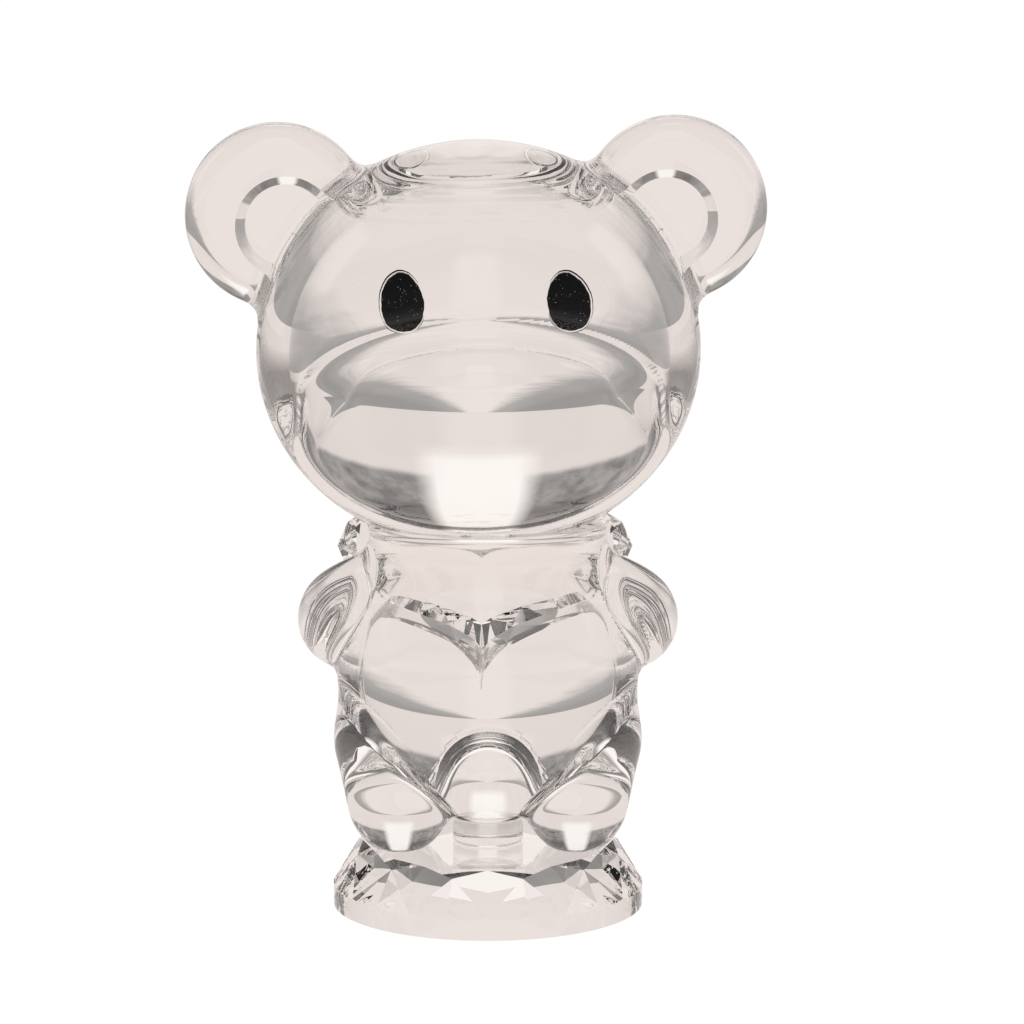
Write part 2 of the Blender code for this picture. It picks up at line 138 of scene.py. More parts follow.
# The glass around an eye stands clear of it by this much, and the enamel lies this deep in its socket.
SOCKET_GAP = 0.00022
SOCKET_FLOOR = EYE_DEPTH + 0.00005
ENAMEL_SINK = 0.00002
ENAMEL_ROUGH = 0.00004
SOCKET_ROUGH = 0.00002
EYES = {
    "right_eye": ((-0.01085, 0.0348), math.radians(3.0)),
    "left_eye": ((0.0124, 0.0344), math.radians(14.0)),
}

# How finely each rounded piece is cast: rings, segments and how far its skin can be from its middle.
LEG_MESH = (90, 150, 0.04)
EAR_MESH = (120, 200, 0.04)
TAIL_MESH = (60, 96, 0.012)
HEAD_MESH = (220, 360, 0.06)

# Fillets of glue and glass where two pieces meet.
EAR_FILLET = 0.0030
ARM_FILLET = 0.0022
LEG_FILLET = 0.0018
TAIL_FILLET = 0.0010

HEAD_PLACE = (
    Matrix.Translation((HEAD_OFFSET, 0.0, NECK_JOINT_Z))
    @ Euler((0.0, HEAD_LEAN, HEAD_TURN)).to_matrix().to_4x4()
)
HEART_PLACE = (
    Matrix.Translation((0.0, HEART_BACK_Y + HEART_THICKNESS / 2, HEART_SEAT_Z))
    @ Matrix.Rotation(HEART_LEAN, 4, "X")
    @ Matrix.Translation((HEART_OFFSET, 0.0, HEART_RISE))
)


def within(points, place):
    """Row-frame points as seen in the frame of a placed group."""
    turn = np.array(place.to_3x3())
    return (points - np.array(place.translation)) @ turn


# ---------------------------------------------------------------- shapes as distance fields


def ellipsoid(points, centre, radii):
    offset = points - np.array(centre)
    near = np.linalg.norm(offset / np.array(radii), axis=-1)
    slope = np.linalg.norm(offset / np.array(radii) ** 2, axis=-1)
    return near * (near - 1.0) / np.maximum(slope, 1e-9)


def egg(points, centre, half_width, half_depth, upper, lower, squareness=2.0, arch=0.0):
    """An egg with one height above its centre and another below.

    Squareness over 2 fills its shoulders, and arch lowers them towards the sides.
    """
    x, y, z = (points - np.array(centre)).T
    rising = z > 0
    height = np.where(rising, upper * (1.0 - arch * np.minimum(np.abs(x) / half_width, 1.0) ** 2), lower)
    power = np.where(rising, squareness, 2.0)
    around = np.maximum(np.hypot(x / half_width, y / half_depth), 1e-9)
    up = np.maximum(np.abs(z) / height, 1e-9)
    near = (around**power + up**power) ** (1.0 / power)
    side_slope = (around / near) ** (power - 1.0) * np.hypot(x / half_width**2, y / half_depth**2) / around
    up_slope = (up / near) ** (power - 1.0) / height
    return (near - 1.0) / np.maximum(np.hypot(side_slope, up_slope), 1e-9)


def blended(first, second, width):
    mix = np.clip(0.5 + 0.5 * (second - first) / width, 0.0, 1.0)
    return second * (1.0 - mix) + first * mix - width * mix * (1.0 - mix)


def head_field(points):
    points = within(points, HEAD_PLACE)
    skull = egg(points, HEAD_CENTRE, HEAD_HALF_WIDTH, HEAD_HALF_DEPTH, HEAD_UPPER, HEAD_LOWER)
    muzzle = egg(
        points,
        MUZZLE_CENTRE,
        MUZZLE_HALF_WIDTH,
        MUZZLE_HALF_DEPTH,
        MUZZLE_UPPER,
        MUZZLE_LOWER,
        MUZZLE_SQUARENESS,
        MUZZLE_ARCH,
    )
    head = blended(skull, muzzle, MUZZLE_BLEND)
    # A ground groove follows the crease, fading out towards the cheeks.
    share = np.clip(1.0 - (points[:, 0] / GROOVE_REACH) ** 4, 0.0, 1.0)
    high = np.clip((points[:, 2] - MUZZLE_CENTRE[2]) / GROOVE_FADE, 0.0, 1.0)
    groove = GROOVE_RADIUS * share * high - np.hypot(skull, muzzle)
    return -blended(-head, -groove, GROOVE_EASE)


def body_radius(height):
    low = np.clip((BODY_WAIST_Z - height) / BODY_LOWER_HEIGHT, 0.0, 0.9999)
    share = np.clip((height - BODY_WAIST_Z) / (NECK_WAIST_Z - BODY_WAIST_Z), 0.0, 1.0)
    flare = np.clip((height - NECK_WAIST_Z) / (BODY_TOP - NECK_WAIST_Z), 0.0, 2.0)
    below = BODY_RADIUS * np.sqrt(1.0 - low * low)
    taper = (1 + np.cos(np.pi * share)) / 2
    above = NECK_RADIUS + (BODY_RADIUS - NECK_RADIUS) * taper + NECK_FLARE * flare**2
    return np.where(height < BODY_WAIST_Z, below, above)


def body_field(points):
    x, y, z = points[:, 0], points[:, 1], points[:, 2]
    span = np.maximum(np.hypot(x, y / BODY_DEPTH_RATIO), 1e-6)
    step = 0.0001
    slope = (body_radius(z + step) - body_radius(z - step)) / (2 * step)
    steep = np.hypot(x, y / BODY_DEPTH_RATIO**2) / span
    return (span - body_radius(z)) / np.sqrt(steep**2 + slope**2)


def leg_field(points, side):
    mirror = np.array((side, 1.0, 1.0))
    thigh = ellipsoid(points, THIGH_CENTRE * mirror, THIGH_RADII)
    foot = ellipsoid(points, FOOT_CENTRE * mirror, FOOT_RADII)
    return blended(thigh, foot, LEG_BLEND)


def limb_line(side):
    """The arm's bent centre line as quadratic coefficients of its position and radius."""
    points = [np.array(p) * (side, 1.0, 1.0) for p in (SHOULDER, ELBOW, HAND)]
    line = [np.append(p, r) for p, r in zip(points, LIMB_RADII)]
    handle = 2 * line[1] - (line[0] + line[2]) / 2
    return line[0], 2 * (handle - line[0]), line[0] - 2 * handle + line[2]


def limb_at(line, share):
    share = np.asarray(share)[..., None]
    return line[0] + line[1] * share + line[2] * share**2


def limb_field(points, side):
    line = limb_line(side)
    coarse = np.linspace(0.0, 1.0, 13)
    middles = limb_at(line, coarse)[:, :3]
    share = coarse[np.argmin(np.linalg.norm(points[:, None] - middles[None], axis=2), axis=1)]
    for _ in range(4):
        here = limb_at(line, share)[:, :3]
        way = line[1][:3] + 2 * line[2][:3] * share[:, None]
        off = points - here
        slope = np.sum(off * way, axis=1)
        curve = np.sum(off * 2 * line[2][:3], axis=1) - np.sum(way * way, axis=1)
        share = np.clip(share - slope / np.minimum(curve, -1e-6), 0.0, 1.0)
    here = limb_at(line, share)
    return np.linalg.norm(points - here[:, :3], axis=1) - here[:, 3]


def tail_field(points):
    return np.linalg.norm(points - np.array(TAIL_CENTRE), axis=1) - TAIL_RADIUS


def rounded_disc(points, radius, half, edge):
    """Distance from a disc about the Y axis with a rounded rim."""
    out = np.hypot(points[:, 0], points[:, 2]) - (radius - edge)
    over = np.abs(points[:, 1]) - (half - edge)
    outside = np.hypot(np.maximum(out, 0.0), np.maximum(over, 0.0))
    return outside + np.minimum(np.maximum(out, over), 0.0) - edge


def ear_field(points, side):
    points = within(points, HEAD_PLACE) - np.array((side * EAR_CENTRE[0], EAR_CENTRE[1], EAR_CENTRE[2]))
    return rounded_disc(points, EAR_RADIUS, EAR_HALF_THICKNESS, EAR_EDGE)


def filleted(field, base, width):
    """A piece whose foot spreads out over the base it is bonded to."""

    def joined(points):
        own = field(points)
        return np.maximum(blended(own, base(points), width), own - 0.9 * width)

    return joined


def gradient(field, points):
    step = 2e-6
    made = np.empty_like(points)
    for axis in range(3):
        move = np.zeros(3)
        move[axis] = step
        made[:, axis] = field(points + move) - field(points - move)
    return made / np.maximum(np.linalg.norm(made, axis=1, keepdims=True), 1e-12)


# ---------------------------------------------------------------- meshes


def cast(field, origins, ways, reach):
    """Where each ray leaves the field's solid for the first time."""
    steps = 24
    low = np.zeros(len(ways))
    high = np.full(len(ways), reach)
    found = np.zeros(len(ways), bool)
    for i in range(1, steps + 1):
        at = reach * i / steps
        outside = (field(origins + ways * at) > 0) & ~found
        high[outside] = at
        low[outside] = reach * (i - 1) / steps
        found |= outside
    for _ in range(26):
        middle = (low + high) / 2
        inside = field(origins + ways * middle[:, None]) < 0
        low = np.where(inside, middle, low)
        high = np.where(inside, high, middle)
    return origins + ways * low[:, None]


def mesh_of(name, points, faces, slot=GLASS):
    mesh = bpy.data.meshes.new(name)
    mesh.from_pydata([tuple(p) for p in points], [], faces)
    for _ in range(2):
        mesh.materials.append(None)
    mesh.polygons.foreach_set("material_index", [slot] * len(mesh.polygons))
    mesh.update()
    return mesh


def rings_mesh(name, loops, ends=None, slot=GLASS):
    """A closed skin through rings of equal length, ended on poles or flat."""
    rows, count = len(loops), len(loops[0])
    points = [p for loop in loops for p in loop]
    faces = []
    for r in range(rows - 1):
        for i in range(count):
            j = (i + 1) % count
            faces.append((r * count + i, r * count + j, (r + 1) * count + j, (r + 1) * count + i))
    top = (rows - 1) * count
    if ends is None:
        faces.append(tuple(reversed(range(count))))
        faces.append(tuple(range(top, top + count)))
    else:
        points += list(ends)
        first, last = top + count, top + count + 1
        for i in range(count):
            j = (i + 1) % count
            faces.append((j, i, first))
            faces.append((top + i, top + j, last))
    return mesh_of(name, points, faces, slot)


def star_mesh(name, centre, field, rings, segments, reach=0.06, slot=GLASS):
    """Closed skin of the field around a centre that sees all of it."""
    tilt, turn = np.meshgrid(
        np.pi * np.arange(1, rings) / rings, 2 * np.pi * np.arange(segments) / segments, indexing="ij"
    )
    ways = np.stack([np.sin(tilt) * np.cos(turn), np.sin(tilt) * np.sin(turn), -np.cos(tilt)], axis=-1)
    ways = np.vstack([ways.reshape(-1, 3), (0.0, 0.0, -1.0), (0.0, 0.0, 1.0)])
    skin = cast(field, np.array(centre), ways, reach)
    return rings_mesh(name, skin[:-2].reshape(rings - 1, segments, 3), skin[-2:], slot)


def limb_mesh(name, side, field, slot=GLASS, rings=56, caps=18, segments=72):
    """Skin of the arm's field, cast outwards from its centre line and round its ends."""
    line = limb_line(side)
    bends = np.pi / 2 * np.arange(1, caps) / caps
    stations = [(0.0, math.sin(b), -math.cos(b)) for b in bends]
    stations += [(i / rings, 1.0, 0.0) for i in range(rings + 1)]
    stations += [(1.0, math.cos(b), math.sin(b)) for b in bends]
    turn = 2 * np.pi * np.arange(segments) / segments
    origins, ways = [], []
    for share, wide, ahead in stations:
        way = line[1][:3] + 2 * line[2][:3] * share
        way = way / np.linalg.norm(way)
        across = np.cross(way, (0.0, 0.0, 1.0))
        across = across / np.linalg.norm(across)
        up = np.cross(across, way)
        spokes = across * np.cos(turn)[:, None] + up * np.sin(turn)[:, None]
        origins.append(np.tile(limb_at(line, share)[:3], (segments, 1)))
        ways.append(spokes * wide + way * ahead)
    for share, sign in ((0.0, -1.0), (1.0, 1.0)):
        way = line[1][:3] + 2 * line[2][:3] * share
        origins.append(limb_at(line, share)[None, :3])
        ways.append(sign * way[None] / np.linalg.norm(way))
    skin = cast(field, np.vstack(origins), np.vstack(ways), 0.02)
    return fixed(rings_mesh(name, skin[:-2].reshape(len(stations), segments, 3), skin[-2:], slot))


def volume(mesh):
    mesh.calc_loop_triangles()
    points = np.empty(len(mesh.vertices) * 3)
    mesh.vertices.foreach_get("co", points)
    faces = np.empty(len(mesh.loop_triangles) * 3, int)
    mesh.loop_triangles.foreach_get("vertices", faces)
    return np.linalg.det(points.reshape(-1, 3)[faces.reshape(-1, 3)]).sum() / 6


def fixed(mesh):
    """The mesh with its faces looking outwards."""
    if volume(mesh) < 0:
        mesh.flip_normals()
    return mesh


def body_mesh(name, grow=0.0, slot=GLASS, steps=150, segments=240):
    """The turned body, flattened front to back."""
    share = (1 - np.cos(np.pi * np.arange(steps + 1) / steps)) / 2
    share = 0.5 * share + 0.5 * np.arange(steps + 1) / steps
    heights = BODY_BOTTOM + (BODY_TOP - BODY_BOTTOM) * share
    radii = body_radius(heights) + grow
    heights = heights + grow * (2 * share - 1)
    turn = 2 * np.pi * np.arange(segments) / segments
    loops = [
        np.stack([r * np.cos(turn), BODY_DEPTH_RATIO * r * np.sin(turn), np.full(segments, h)], axis=1)
        for r, h in zip(radii, heights)
    ]
    return fixed(rings_mesh(name, loops, None, slot))


def box_mesh(name, low, high, slot=BOND, place=None):
    corners = [Vector(corner) for corner in itertools.product(*zip(low, high))]
    if place is not None:
        corners = [place @ c for c in corners]
    faces = [(0, 1, 3, 2), (4, 6, 7, 5), (0, 4, 5, 1), (2, 3, 7, 6), (0, 2, 6, 4), (1, 5, 7, 3)]
    return fixed(mesh_of(name, corners, faces, slot))


def heart_outline(angle):
    x = 16 * math.sin(angle) ** 3
    y = 13 * math.cos(angle) - 5 * math.cos(2 * angle) - 2 * math.cos(3 * angle) - math.cos(4 * angle)
    return x / 32, (y - 4) / 29


def heart_mesh(name, grow=0.0, slot=GLASS):
    """A heart-shaped slab: flat tables front and back, and two rows of triangles round its edge."""
    half = HEART_THICKNESS / 2
    points, faces = [], []
    loops = ((HEART_TABLE, -half - grow, 0.5), (1.0, 0.0, 0.0), (HEART_TABLE, half + grow, 0.5))
    for scale, depth, shift in loops:
        for i in range(HEART_STEPS):
            x, z = heart_outline(2 * math.pi * (i + shift) / HEART_STEPS)
            size = scale + grow / (HEART_WIDTH / 2)
            points.append(HEART_PLACE @ Vector((x * HEART_WIDTH * size, depth, z * HEART_HEIGHT * size)))
    n = HEART_STEPS
    faces.append(tuple(reversed(range(n))))
    faces.append(tuple(range(2 * n, 3 * n)))
    for i in range(n):
        j = (i + 1) % n
        faces += [(n + i, i, n + j), (i, j, n + j)]
        faces += [(n + i, n + j, 2 * n + i), (2 * n + i, n + j, 2 * n + j)]
    return fixed(mesh_of(name, points, faces, slot))


def polar(radius, angle, height):
    return Vector((radius * math.sin(angle), -radius * math.cos(angle), height))


def disc_mesh(name):
    """The round disc, its crown ground with a kite, two girdle triangles and a star at each step."""
    step = 2 * math.pi / CROWN_FOLD
    slope = (DISC_HEIGHT - GIRDLE_HEIGHT) / (DISC_RADIUS - TABLE_RADIUS)
    tip_height = DISC_HEIGHT - slope * (STAR_TIP_RADIUS * math.cos(step / 2) - TABLE_RADIUS)
    work = bmesh.new()
    bmesh.ops.create_cone(
        work,
        cap_ends=True,
        segments=240,
        radius1=DISC_RADIUS,
        radius2=DISC_RADIUS,
        depth=DISC_HEIGHT,
        matrix=Matrix.Translation((0, 0, DISC_HEIGHT / 2)),
    )

    def facet(a, b, c):
        normal = (b - a).cross(c - a).normalized()
        if normal.z < 0:
            normal.negate()
        geometry = list(work.verts) + list(work.edges) + list(work.faces)
        made = bmesh.ops.bisect_plane(
            work, geom=geometry, plane_co=a, plane_no=normal, dist=1e-7, clear_outer=True
        )["geom_cut"]
        bmesh.ops.contextual_create(work, geom=[e for e in made if isinstance(e, bmesh.types.BMEdge)])

    for k in range(CROWN_FOLD):
        here = k * step
        corner = polar(TABLE_RADIUS, here, DISC_HEIGHT)
        foot = polar(DISC_RADIUS, here, GIRDLE_HEIGHT)
        facet(corner, foot, corner + Vector((math.cos(here), math.sin(here), 0.0)))
    for k in range(CROWN_FOLD):
        here = (k + 0.5) * step
        tip = polar(STAR_TIP_RADIUS, here, tip_height)
        before, after = (polar(TABLE_RADIUS, here + side * step / 2, DISC_HEIGHT) for side in (-1, 1))
        facet(before, after, tip)
        for side in (-1, 1):
            kite = polar(DISC_RADIUS, here + side * step / 2, GIRDLE_HEIGHT)
            facet(tip, kite, polar(DISC_RADIUS, here, GIRDLE_HEIGHT))
    bmesh.ops.remove_doubles(work, verts=work.verts, dist=2e-6)
    bmesh.ops.recalc_face_normals(work, faces=work.faces)
    mesh = bpy.data.meshes.new(name)
    work.to_mesh(mesh)
    work.free()
    for _ in range(2):
        mesh.materials.append(None)
    return fixed(mesh)


def puck_mesh(name, radius, low, high, edge, slot=GLASS, segments=120, steps=8):
    """A short round bar with rounded ends."""
    bends = [math.pi / 2 * i / steps for i in range(steps + 1)]
    profile = [(radius - edge + edge * math.sin(b), low + edge - edge * math.cos(b)) for b in bends]
    profile += [(radius - edge + edge * math.cos(b), high - edge + edge * math.sin(b)) for b in bends]
    turn = 2 * np.pi * np.arange(segments) / segments
    around, level = np.stack([np.cos(turn), np.sin(turn)], axis=1), np.ones((segments, 1))
    loops = [np.hstack([r * around, h * level]) for r, h in profile]
    return fixed(rings_mesh(name, loops, None, slot))


def dish_mesh(name, side, segments=120):
    """The tool that dishes an ear: a tapering round bar with a rounded floor."""
    floor = EAR_HALF_THICKNESS - DISH_DEPTH
    inner = DISH_FLOOR_RADIUS - DISH_FILLET
    profile = [(0.0005, floor)]
    for i in range(7):
        bend = math.pi / 2 * i / 6
        rise = DISH_FILLET * (1 - math.cos(bend))
        profile.append((inner + DISH_FILLET * math.sin(bend), floor + rise))
    profile.append((DISH_RADIUS, EAR_HALF_THICKNESS))
    profile.append((2 * DISH_RADIUS - DISH_FLOOR_RADIUS, EAR_HALF_THICKNESS + DISH_DEPTH))
    turn = 2 * np.pi * np.arange(segments) / segments
    middle = Vector((side * (EAR_CENTRE[0] + DISH_SHIFT[0]), EAR_CENTRE[1], EAR_CENTRE[2] + DISH_SHIFT[1]))
    loops = []
    for r, h in profile:
        loops.append([HEAD_PLACE @ (middle + Vector((r * math.cos(a), -h, r * math.sin(a)))) for a in turn])
    return fixed(rings_mesh(name, loops))


def oval_mesh(name, place, grow, rough=0.0, slot=GLASS, segments=96):
    """An egg-shaped bar along Y, for an eye and its socket. Its outline is uneven by up to rough."""
    ends = []
    for depth in (-1.2 * HEAD_HALF_DEPTH, -HEAD_HALF_DEPTH / 2):
        loop = []
        for i in range(segments):
            angle = 2 * math.pi * i / segments
            up, across = math.sin(angle), math.cos(angle)
            waves = (size * math.sin(lobes * angle + phase) for lobes, size, phase in EYE_WAVES)
            out = grow + rough * sum(waves)
            wide = (EYE_HALF_WIDTH + out) * across * (1 - EYE_TAPER * up)
            loop.append(HEAD_PLACE @ (place @ Vector((wide, depth, (EYE_HALF_HEIGHT + out) * up))))
        ends.append(loop)
    return fixed(rings_mesh(name, ends, None, slot))


def carved(mesh, *steps):
    """The mesh after Booleans: each step is (operation, tool mesh)."""
    target = bpy.data.objects.new("carving", mesh)
    bpy.context.scene.collection.objects.link(target)
    tools = []
    for operation, tool in steps:
        other = bpy.data.objects.new("tool", tool)
        bpy.context.scene.collection.objects.link(other)
        tools.append(other)
        change = target.modifiers.new("carve", "BOOLEAN")
        change.operation = operation
        change.solver = "MANIFOLD"
        change.material_mode = "INDEX"
        change.object = other
    bpy.context.view_layer.update()
    graph = bpy.context.evaluated_depsgraph_get()
    made = bpy.data.meshes.new_from_object(target.evaluated_get(graph))
    made.name = mesh.name
    for thing in (target, *tools):
        bpy.data.objects.remove(thing, do_unlink=True)
    if len(made.polygons) < 4:
        raise RuntimeError("nothing left of " + mesh.name)
    return made


def shade(mesh, fields):
    """Smooth shading with the exact normals of whichever field each face lies on."""
    count = len(mesh.polygons)
    centres = np.empty(count * 3)
    mesh.polygons.foreach_get("center", centres)
    centres = centres.reshape(-1, 3)
    closest = np.argmin([np.abs(field(centres)) for field in fields], axis=0)
    points = np.empty(len(mesh.vertices) * 3)
    mesh.vertices.foreach_get("co", points)
    points = points.reshape(-1, 3)
    corners = np.empty(len(mesh.loops), int)
    mesh.loops.foreach_get("vertex_index", corners)
    totals = np.empty(count, int)
    mesh.polygons.foreach_get("loop_total", totals)
    owner = np.repeat(closest, totals)
    normals = np.zeros((len(mesh.loops), 3))
    for k, field in enumerate(fields):
        mine = owner == k
        if mine.any():
            used, back = np.unique(corners[mine], return_inverse=True)
            normals[mine] = gradient(field, points[used])[back.reshape(-1)]
    mesh.polygons.foreach_set("use_smooth", [True] * count)
    mesh.normals_split_custom_set([tuple(n) for n in normals])


def flat_field(place_point, normal):
    """A plane as a field."""
    normal = np.array(normal) / np.linalg.norm(normal)
    point = np.array(place_point)
    return lambda points: (points - point) @ normal


# ---------------------------------------------------------------- materials


class Nodes:
    """Short calls for a material's or world's node tree."""

    def __init__(self, tree):
        self.tree = tree

    def new(self, kind, **settings):
        node = self.tree.nodes.new("ShaderNode" + kind)
        for key, value in settings.items():
            setattr(node, key, value)
        return node

    def link(self, source, target):
        self.tree.links.new(source, target)

    def maths(self, operation, first, second=None, third=None):
        node = self.new("Math", operation=operation)
        for socket, value in zip(node.inputs, (first, second, third)):
            if value is None:
                continue
            if isinstance(value, (int, float)):
                socket.default_value = value
            else:
                self.link(value, socket)
        return node.outputs[0]

    def ramp(self, source, stops):
        node = self.new("ValToRGB")
        steps = node.color_ramp.elements
        while len(steps) < len(stops):
            steps.new(0.5)
        for step, (place, colour) in zip(steps, stops):
            step.position = place
            step.color = (*colour, 1.0)
        self.link(source, node.inputs[0])
        return node.outputs[0]

    def noise(self, scale, detail=2.0, rough=0.5, coords=None):
        node = self.new("TexNoise")
        node.inputs["Scale"].default_value = scale
        node.inputs["Detail"].default_value = detail
        node.inputs["Roughness"].default_value = rough
        self.link(coords or self.coords(), node.inputs["Vector"])
        return node.outputs["Fac"]

    def coords(self):
        return self.new("TexCoord").outputs["Object"]


def material(name):
    made = bpy.data.materials.new(name)
    made.use_nodes = True
    shader = made.node_tree.nodes["Principled BSDF"]
    return made, Nodes(made.node_tree), shader


def crystal():
    """Clear optical crystal: polished, with faint waviness and fine rubbing marks."""
    made, n, shader = material("crystal")
    shader.inputs["Transmission Weight"].default_value = 1.0
    shader.inputs["IOR"].default_value = 1.52
    tint = n.ramp(n.noise(90.0), [(0.3, (0.985, 0.975, 0.965)), (0.7, (0.995, 0.985, 0.975))])
    n.link(tint, shader.inputs["Base Color"])
    rough = n.maths("MULTIPLY", n.noise(700.0, 3.0), 0.006)
    n.link(rough, shader.inputs["Roughness"])
    bump = n.new("Bump")
    bump.inputs["Strength"].default_value = 0.25
    bump.inputs["Distance"].default_value = 0.00004
    n.link(n.noise(160.0, 1.0), bump.inputs["Height"])
    n.link(bump.outputs["Normal"], shader.inputs["Normal"])
    return made


def bond():
    """A film of clear cured glue, which lets everything through."""
    made, n, shader = material("bond_film")
    shader.inputs["Roughness"].default_value = 0.05
    tint = n.ramp(n.noise(300.0), [(0.3, (0.93, 0.93, 0.9)), (0.7, (0.98, 0.97, 0.95))])
    n.link(tint, shader.inputs["Base Color"])
    shader.inputs["Alpha"].default_value = 0.0
    return made


def enamel():
    """Black enamel with silvery specks and a worn, uneven gloss."""
    made, n, shader = material("black_enamel")
    cells = n.new("TexVoronoi")
    cells.inputs["Scale"].default_value = 2600.0
    n.link(n.coords(), cells.inputs["Vector"])
    specks = n.maths("LESS_THAN", cells.outputs["Distance"], 0.16)
    patches = n.maths("GREATER_THAN", n.noise(900.0, 3.0, 0.6), 0.52)
    specks = n.maths("MULTIPLY", specks, patches)
    mix = n.new("Mix", data_type="RGBA")
    mix.inputs["A"].default_value = (0.006, 0.006, 0.007, 1.0)
    mix.inputs["B"].default_value = (0.55, 0.57, 0.6, 1.0)
    n.link(specks, mix.inputs["Factor"])
    n.link(mix.outputs["Result"], shader.inputs["Base Color"])
    rough = n.maths("MULTIPLY_ADD", n.noise(1200.0, 4.0), 0.3, 0.15)
    n.link(rough, shader.inputs["Roughness"])
    bump = n.new("Bump")
    bump.inputs["Strength"].default_value = 0.5
    bump.inputs["Distance"].default_value = 0.00005
    n.link(n.noise(1500.0, 4.0, 0.7), bump.inputs["Height"])
    n.link(bump.outputs["Normal"], shader.inputs["Normal"])
    return made


MATERIALS = (crystal(), bond())
ENAMEL = enamel()


def piece(name, mesh, node, materials=MATERIALS):
    """A visible piece that stands for a CAD node."""
    for slot_index, finish in enumerate(materials):
        if slot_index < len(mesh.materials):
            mesh.materials[slot_index] = finish
        else:
            mesh.materials.append(finish)
    made = bpy.data.objects.new(name, mesh)
    bpy.context.scene.collection.objects.link(made)
    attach(made, "root")
    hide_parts(node)
    return made


# ---------------------------------------------------------------- pieces


def grown(field, amount):
    return lambda points: field(points) - amount


def seat_box(name, shift, slot):
    """Everything behind the flat ground on the body's back."""
    near = -HEART_THICKNESS / 2 + shift
    return box_mesh(name, (-0.06, near, -0.06), (0.06, 0.05, 0.06), slot, HEART_PLACE)


def torso_solid(name, grow, slot):
    return carved(body_mesh(name, grow, slot), ("DIFFERENCE", seat_box("seat", -FILM + grow, GLASS)))


def head_solid(name, grow, slot):
    middle = HEAD_PLACE @ Vector((0.0, -0.003, 0.022))
    return star_mesh(name, middle, grown(head_field, grow), *HEAD_MESH, slot)


def bonded_to_torso(stamps, marker):
    """Prints a neighbour's foot on the body."""
    slim = torso_solid("torso_slim", -FILM, BOND)
    stamps["torso"].append(carved(marker, ("DIFFERENCE", slim)))


def build_legs(stamps):
    """Two legs, standing on the disc and bonded to the body."""
    wide = torso_solid("torso_wide", FILM, BOND)
    below = box_mesh("below_table", (-FAR, -FAR, -FAR), (FAR, FAR, DISC_HEIGHT + FILM))
    deep_below = box_mesh("deep_below", (-FAR, -FAR, -FAR), (FAR, FAR, DISC_HEIGHT - FILM))
    for name, side in (("right_leg", -1), ("left_leg", 1)):

        def own(points, side=side):
            return leg_field(points, side)

        field = filleted(own, body_field, LEG_FILLET)
        middle = np.array(LEG_MIDDLE) * (side, 1, 1)
        whole = star_mesh(name, middle, field, *LEG_MESH)
        marker = star_mesh(name + "_stamp", middle, field, *LEG_MESH, BOND)
        bonded_to_torso(stamps, marker)
        stamps["disc"].append(carved(marker, ("DIFFERENCE", deep_below)))
        leg = carved(whole, ("DIFFERENCE", wide), ("DIFFERENCE", below))
        shade(leg, [field, flat_field((0, 0, DISC_HEIGHT), (0, 0, -1))])
        piece(name + "_glass", leg, name)


def build_arms(stamps):
    """Two arms, from the shoulders round the sides to the heart."""
    torso_wide = torso_solid("torso_wide", FILM, BOND)
    heart_wide = heart_mesh("heart_wide", FILM, BOND)
    heart_slim = heart_mesh("heart_slim", -FILM, BOND)
    for name, side in (("right_arm", -1), ("left_arm", 1)):

        def own(points, side=side):
            return limb_field(points, side)

        field = filleted(own, body_field, ARM_FILLET)
        whole = limb_mesh(name, side, field)
        marker = limb_mesh(name + "_stamp", side, field, BOND)
        bonded_to_torso(stamps, marker)
        stamps["heart"].append(carved(marker, ("DIFFERENCE", heart_slim)))
        arm = carved(whole, ("DIFFERENCE", torso_wide), ("DIFFERENCE", heart_wide))
        shade(arm, [field])
        piece(name + "_glass", arm, name)


def build_tail(stamps):
    field = filleted(tail_field, body_field, TAIL_FILLET)
    whole = star_mesh("tail", TAIL_CENTRE, field, *TAIL_MESH)
    bonded_to_torso(stamps, star_mesh("tail_stamp", TAIL_CENTRE, field, *TAIL_MESH, BOND))
    tail = carved(whole, ("DIFFERENCE", torso_solid("torso_wide", FILM, BOND)))
    shade(tail, [field])
    piece("tail_glass", tail, "tail_ball")


def build_heart(stamps):
    """The heart, its facets left sharp."""
    marker = body_mesh("torso_marker", 0.0, BOND)
    seat_y = -HEART_THICKNESS / 2
    slab = box_mesh("slab", (-FAR, seat_y - STAMP, -FAR), (FAR, seat_y + FILM, FAR), BOND, HEART_PLACE)
    stamps["heart"].append(carved(marker, ("INTERSECT", slab)))
    heart = carved(heart_mesh("heart"), *[("DIFFERENCE", s) for s in stamps["heart"]])
    piece("heart_glass", heart, "heart")


def build_spacer(stamps):
    """The puck between the disc and the body, its two flat ends bonded."""
    spacer = puck_mesh("spacer", SPACER_RADIUS, DISC_HEIGHT + FILM, BODY_BOTTOM - FILM, SPACER_EDGE)
    centres = np.empty(len(spacer.polygons) * 3)
    spacer.polygons.foreach_get("center", centres)
    from_middle = np.abs(centres.reshape(-1, 3)[:, 2] - (DISC_HEIGHT + BODY_BOTTOM) / 2)
    flat = from_middle > (BODY_BOTTOM - DISC_HEIGHT) / 2 - 2 * FILM
    spacer.polygons.foreach_set("material_index", flat.astype(int))
    spacer.polygons.foreach_set("use_smooth", ~flat)
    foot = SPACER_RADIUS - SPACER_EDGE
    on_disc = DISC_HEIGHT - FILM, DISC_HEIGHT + STAMP
    stamps["disc"].append(puck_mesh("foot_stamp", foot, *on_disc, STAMP_EDGE, BOND))
    piece("spacer_glass", spacer, "body_spacer")


